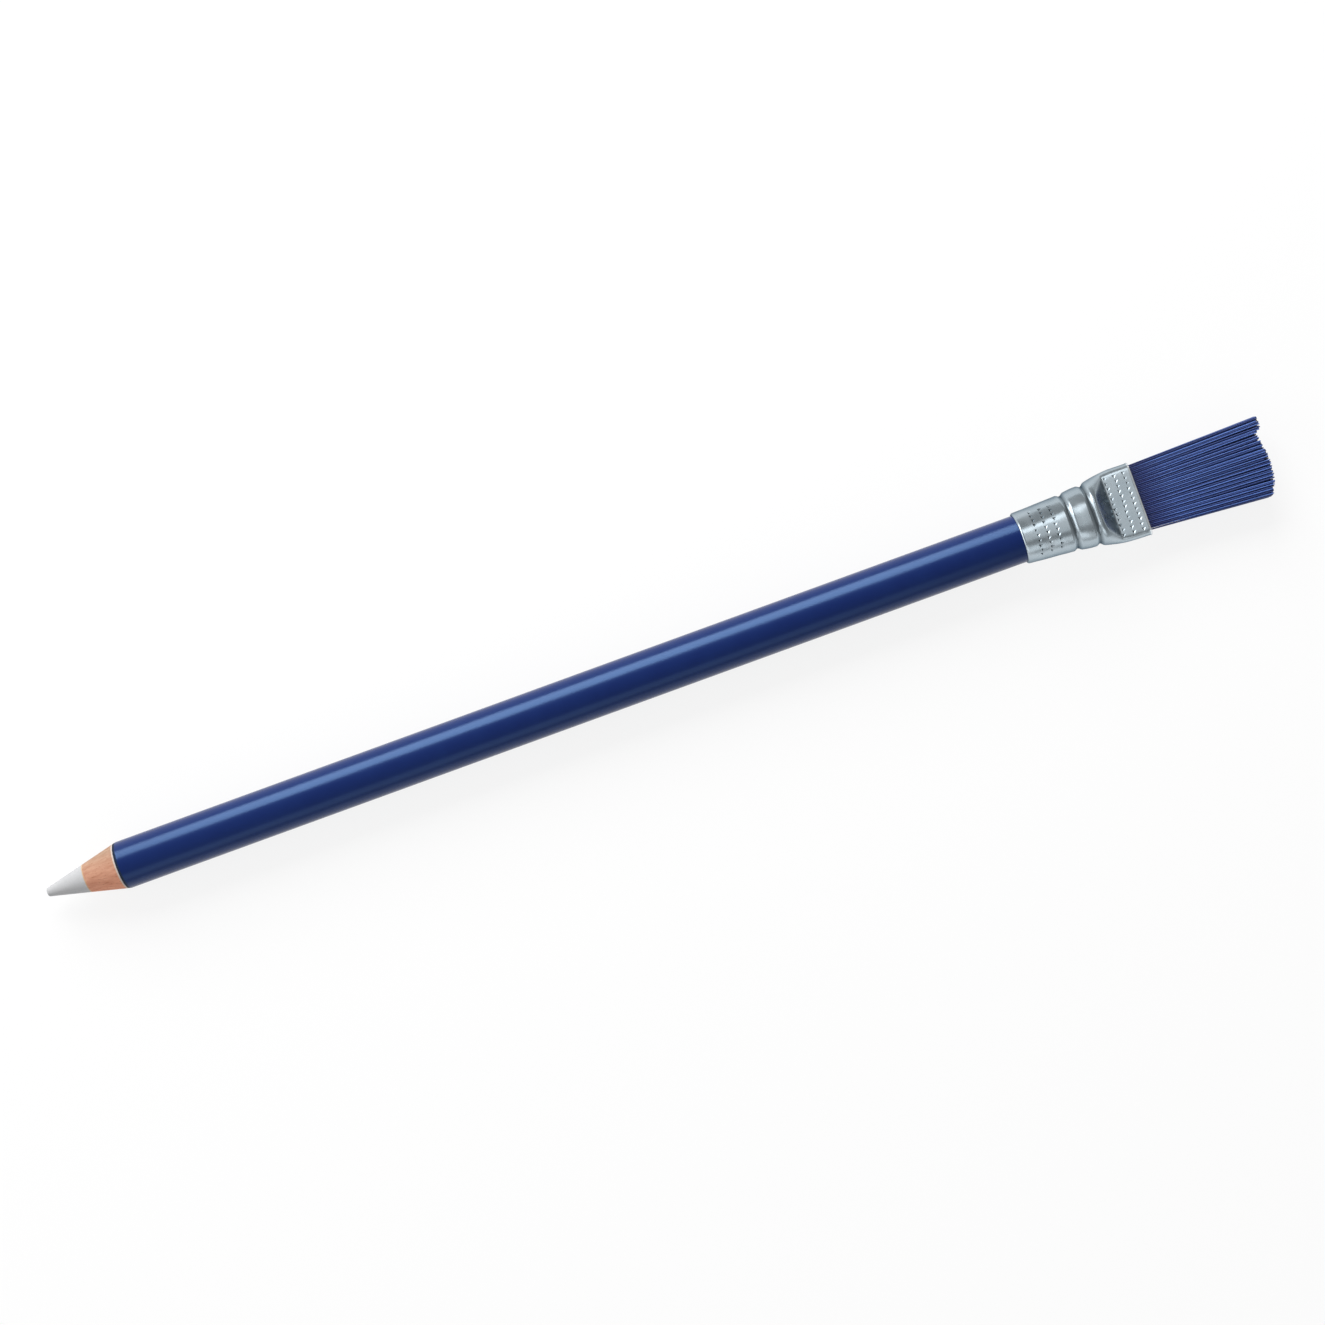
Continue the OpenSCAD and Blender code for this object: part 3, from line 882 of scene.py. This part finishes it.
def bristle_grid(tree, given):
    """Mesh of root places, and for each place: its share of the width, y, z, and whether it is inner."""
    calc = partial(number, tree)
    grid = add_node(tree, "GeometryNodeMeshGrid", {
        "Size X": given["Width"], "Size Y": given["Height"],
        "Vertices X": given["Columns"], "Vertices Y": given["Rows"]})
    here = split(tree, add_node(tree, "GeometryNodeInputPosition"))
    side = calc("ADD", calc("DIVIDE", here["X"], given["Width"]), 0.5)
    edge = calc("MULTIPLY", calc("ABSOLUTE", calc("SUBTRACT", side, 0.5)), 2.0)
    squeeze = rule(tree, edge, [(0, 1), (0.8, 1), (0.92, 0.9), (1, 0.7)])
    up = calc("MULTIPLY", here["Y"], squeeze)
    depth = calc("DIVIDE", calc("ABSOLUTE", here["Y"]), given["Height"])
    inner = calc("LESS_THAN", calc("MAXIMUM", depth, calc("MULTIPLY", edge, 0.46)), 0.45)
    pitch = calc("DIVIDE", given["Width"], given["Columns"])
    across = calc("ADD", here["X"], calc("MULTIPLY", inner, calc("MULTIPLY", pitch, 0.5)))
    return grid.outputs["Mesh"], side, across, up, inner


def bristle_tone_and_painted_stripes(tree, given, side, luck):
    """Light and dark columns take turns, painted light and shade, and each column and each bristle has
    some luck of its own.
    """
    calc = partial(number, tree)
    column = calc("FLOOR", calc("MULTIPLY", side, given["Columns"]))
    turn = calc("FLOORED_MODULO", column, 2.0)
    column_luck = chance(tree, given, "FLOAT", 0.0, 1.0, 5, column)
    stripe = calc("ADD", calc("MULTIPLY", turn, 0.65), calc("MULTIPLY", column_luck, 0.25))
    return calc("ADD", stripe, calc("MULTIPLY", luck, 0.1))


def bristle_ends(tree, given, side, across, up, luck):
    """Root and tip of each bristle, and how far its middle bows out."""
    calc, lean = partial(number, tree), -math.tan(nose_lean)
    jitter = chance(tree, given, "FLOAT_VECTOR", (0, -0.02 * mm, -0.03 * mm),
                    (0, 0.02 * mm, 0.03 * mm), 2)
    root_y = calc("ADD", calc("ADD", across, given["Shift"]), calc("MULTIPLY", given["Root x"], lean))
    root = vector(tree, "ADD", join(tree, X=given["Root x"], Y=root_y, Z=up), jitter)

    line = rule(tree, side, [(0, 0.19), (0.08, 0.39), (0.18, 0.57), (0.33, 0.7), (0.52, 0.71),
                             (0.64, 0.61), (0.74, 0.54), (0.8, 0.56), (0.87, 0.82), (1, 0.86)])
    tip_x = calc("ADD", given["Shortest tip x"], calc("MULTIPLY", line, given["Tip range"]))
    tip_x = calc("SUBTRACT", tip_x, calc("MULTIPLY", given["Rag"], calc("POWER", luck, 3.0)))
    tip_y = calc("ADD", calc("MULTIPLY", across, given["Spread"]),
                 calc("ADD", given["Shift"], calc("MULTIPLY", tip_x, lean)))
    tip_z = calc("MULTIPLY", up, given["Thicken"])
    flat_tip = join(tree, Y=tip_y, Z=tip_z)
    lock = add_node(tree, "ShaderNodeTexVoronoi", {
        "Vector": flat_tip, "Scale": calc("DIVIDE", 1.0, given["Lock size"])})
    pull = vector(tree, "SUBTRACT", lock.outputs["Position"], flat_tip)
    pull = vector(tree, "SCALE", vector(tree, "MULTIPLY", pull, (0, 1, 1)), given["Lock pull"])
    tip = vector(tree, "ADD", join(tree, X=tip_x, Y=tip_y, Z=tip_z), pull)
    stray = chance(tree, given, "FLOAT_VECTOR", (0, -1, -0.7), (0, 1, 0.7), 3)
    tip = vector(tree, "ADD", tip, vector(tree, "SCALE", stray, given["Stray"]))
    bow = chance(tree, given, "FLOAT_VECTOR", (0, -1, -0.8), (0, 1, 0.8), 4)
    return {"root": root, "tip": tip, "bow": vector(tree, "SCALE", bow, given["Bow"])}


print("bristle rules ready")

# %% Bristles planted in the mouth
def spun_tubes(tree, given, planted, places_along=11, sides=5):
    """Closed tube from each root to its tip, along a curve with the bristle's own bow."""
    calc = partial(number, tree)
    thread = add_node(tree, "GeometryNodeCurvePrimitiveLine", {"End": (1, 0, 0)})
    thread = add_node(tree, "GeometryNodeResampleCurve", {"Curve": thread, "Count": places_along})
    threads = add_node(tree, "GeometryNodeInstanceOnPoints", {"Points": planted, "Instance": thread})
    threads = add_node(tree, "GeometryNodeRealizeInstances", {"Geometry": threads})
    reach = calc("POWER", add_node(tree, "GeometryNodeSplineParameter").outputs["Factor"], 1.25)
    straight = blend(tree, reach, stored(tree, "root"), stored(tree, "tip"), "VECTOR")
    belly = calc("MULTIPLY", calc("MULTIPLY", reach, calc("SUBTRACT", 1.0, reach)), 4.0)
    curved = vector(tree, "ADD", straight, vector(tree, "SCALE", stored(tree, "bow"), belly))
    threads = add_node(tree, "GeometryNodeSetPosition", {"Geometry": threads, "Position": curved})
    thickness = blend(tree, reach, given["Root thickness"], given["Tip thickness"], "FLOAT")
    profile = add_node(tree, "GeometryNodeCurvePrimitiveCircle", {"Resolution": sides, "Radius": 0.5})
    tubes = add_node(tree, "GeometryNodeCurveToMesh", {
        "Curve": threads, "Profile Curve": profile, "Scale": thickness, "Fill Caps": True})
    return add_node(tree, "GeometryNodeSetShadeSmooth", {"Geometry": tubes})


def bristle_tree(material):
    """Tree that plants bristles on a grid in the mouth and ends in closed tubes."""
    tree, given = new_tree("bristles", [
        ("Columns", "Int"), ("Rows", "Int"), ("Width", "Float"), ("Height", "Float"),
        ("Root x", "Float"), ("Shortest tip x", "Float"), ("Tip range", "Float"), ("Rag", "Float"),
        ("Spread", "Float"), ("Thicken", "Float"), ("Shift", "Float"), ("Lock size", "Float"),
        ("Lock pull", "Float"), ("Stray", "Float"), ("Bow", "Float"), ("Root thickness", "Float"),
        ("Tip thickness", "Float"), ("Seed", "Int")])
    planted, side, across, up, inner = bristle_grid(tree, given)
    luck = chance(tree, given, "FLOAT", 0.0, 1.0, 1)
    for name, value in bristle_ends(tree, given, side, across, up, luck).items():
        planted = store(tree, planted, name, value, "FLOAT_VECTOR")
    planted = store(tree, planted, "shade", bristle_tone_and_painted_stripes(tree, given, side, luck), "FLOAT")
    planted = store(tree, planted, "inner", inner, "FLOAT")
    end_tree(tree, spun_tubes(tree, given, planted), material)
    return tree


brush = grow("nylon_bristles", bpy.data.meshes.new("bristle_seed"), bristle_tree(nylon), {
    "Columns": 40, "Rows": 9, "Width": 10.34 * mm, "Height": 1.6 * mm, "Root x": 18.85 * mm,
    "Shortest tip x": 38.5 * mm, "Tip range": 2.5 * mm, "Rag": 0.9 * mm, "Spread": 1.19,
    "Thicken": 1.25, "Shift": 0.15 * mm, "Lock size": 0.8 * mm, "Lock pull": 0.22,
    "Stray": 0.06 * mm, "Bow": 0.04 * mm, "Root thickness": 0.2 * mm, "Tip thickness": 0.22 * mm,
    "Seed": 11})
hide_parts("bristle_tuft")
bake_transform(brush)

print("brush:", len(brush.data.polygons), "faces")
